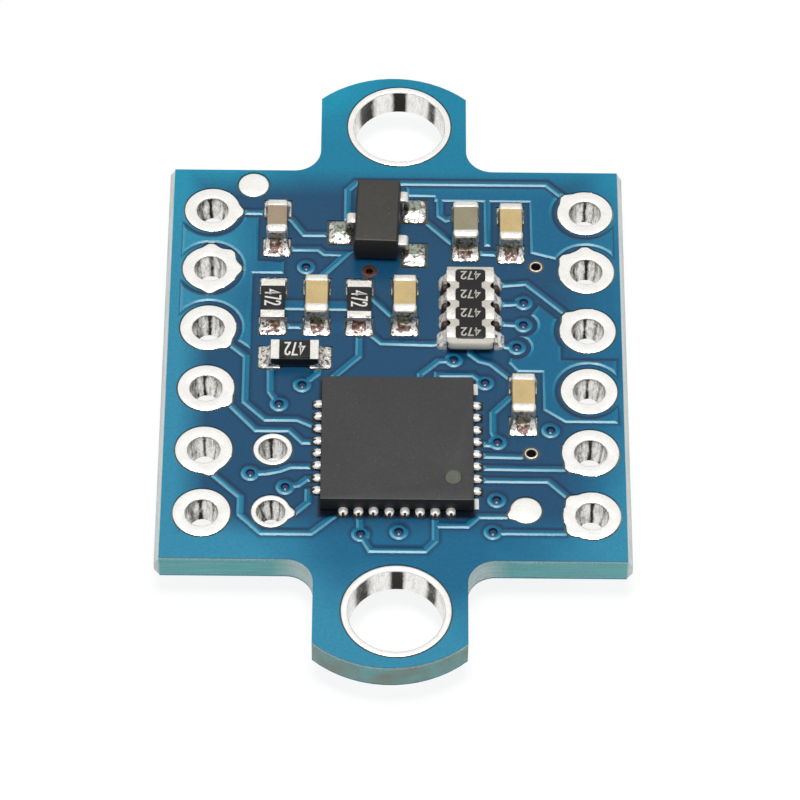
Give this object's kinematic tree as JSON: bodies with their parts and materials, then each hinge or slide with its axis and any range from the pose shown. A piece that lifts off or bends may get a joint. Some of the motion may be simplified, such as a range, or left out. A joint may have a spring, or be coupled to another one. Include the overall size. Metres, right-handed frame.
{
  "type": "time-of-flight sensor module",
  "caption": "Small blue circuit board with two screw tabs and two rows of plated pin holes, a leadless microcontroller on top and an optical distance sensor beneath.",
  "frame": {"origin": "midway between the two mounting holes, on the lower face of the bare laminate", "axes": "+Z out of the face that carries the microcontroller, +Y along the board towards the tab by the regulator, +X across the pin rows"},
  "size_m": [0.0155, 0.0246, 0.0032],
  "materials": {
    "laminate": "cut and routed glass-epoxy laminate, pale green",
    "solder_mask": "glossy blue solder mask, see-through over copper",
    "copper": "bare copper foil",
    "tinned_copper": "bright tin over plated copper",
    "solder": "bright reflowed solder",
    "chip_ends": "tin-plated metal ends and leads, satin",
    "epoxy_moulding": "fine-grained black epoxy moulding",
    "ceramic_tan": "fired tan ceramic, smooth",
    "ceramic_brown": "fired greyish brown ceramic, smooth",
    "ceramic_olive": "fired olive grey ceramic, smooth",
    "alumina": "white alumina, matt",
    "resistor_coat": "black glazed overcoat",
    "sensor_carrier": "thin glass-epoxy carrier",
    "sensor_cover": "black moulded cover, matt",
    "sensor_glass": "dark clear window"
  },
  "bodies": {
    "root": {"circuit_board": "laminate", "solder_mask_top": "solder_mask", "solder_mask_bottom": "solder_mask", "copper_top": "copper", "copper_bottom": "copper", "vias": "tinned_copper", "barrel_mounting_far": "tinned_copper", "barrel_mounting_near": "tinned_copper", "barrel_left_1": "tinned_copper", "barrel_left_2": "tinned_copper", "barrel_left_3": "tinned_copper", "barrel_left_4": "tinned_copper", "barrel_left_5": "tinned_copper", "barrel_left_6": "tinned_copper", "barrel_right_1": "tinned_copper", "barrel_right_2": "tinned_copper", "barrel_right_3": "tinned_copper", "barrel_right_4": "tinned_copper", "barrel_right_5": "tinned_copper", "barrel_right_6": "tinned_copper", "barrels_wire_holes": "tinned_copper", "test_pads": "tinned_copper", "mcu_body": "epoxy_moulding", "mcu_terminals": "chip_ends", "regulator_body": "epoxy_moulding", "regulator_leads": "chip_ends", "capacitor_1_body": "ceramic_brown", "capacitor_1_ends": "chip_ends", "capacitor_2_body": "ceramic_olive", "capacitor_2_ends": "chip_ends", "capacitor_3_body": "ceramic_tan", "capacitor_3_ends": "chip_ends", "capacitor_4_body": "ceramic_tan", "capacitor_4_ends": "chip_ends", "capacitor_5_body": "ceramic_tan", "capacitor_5_ends": "chip_ends", "capacitor_6_body": "ceramic_tan", "capacitor_6_ends": "chip_ends", "resistor_1_base": "alumina", "resistor_1_coat": "resistor_coat", "resistor_1_ends": "chip_ends", "resistor_2_base": "alumina", "resistor_2_coat": "resistor_coat", "resistor_2_ends": "chip_ends", "resistor_3_base": "alumina", "resistor_3_coat": "resistor_coat", "resistor_3_ends": "chip_ends", "resistor_array_base": "alumina", "resistor_array_coat": "resistor_coat", "resistor_array_ends": "chip_ends", "solder_top": "solder", "sensor_base": "sensor_carrier", "sensor_cover": "sensor_cover", "sensor_windows": "sensor_glass", "low_capacitor_1_body": "ceramic_tan", "low_capacitor_1_ends": "chip_ends", "low_capacitor_2_body": "ceramic_tan", "low_capacitor_2_ends": "chip_ends", "solder_bottom": "solder"}
  },
  "joints": []
}
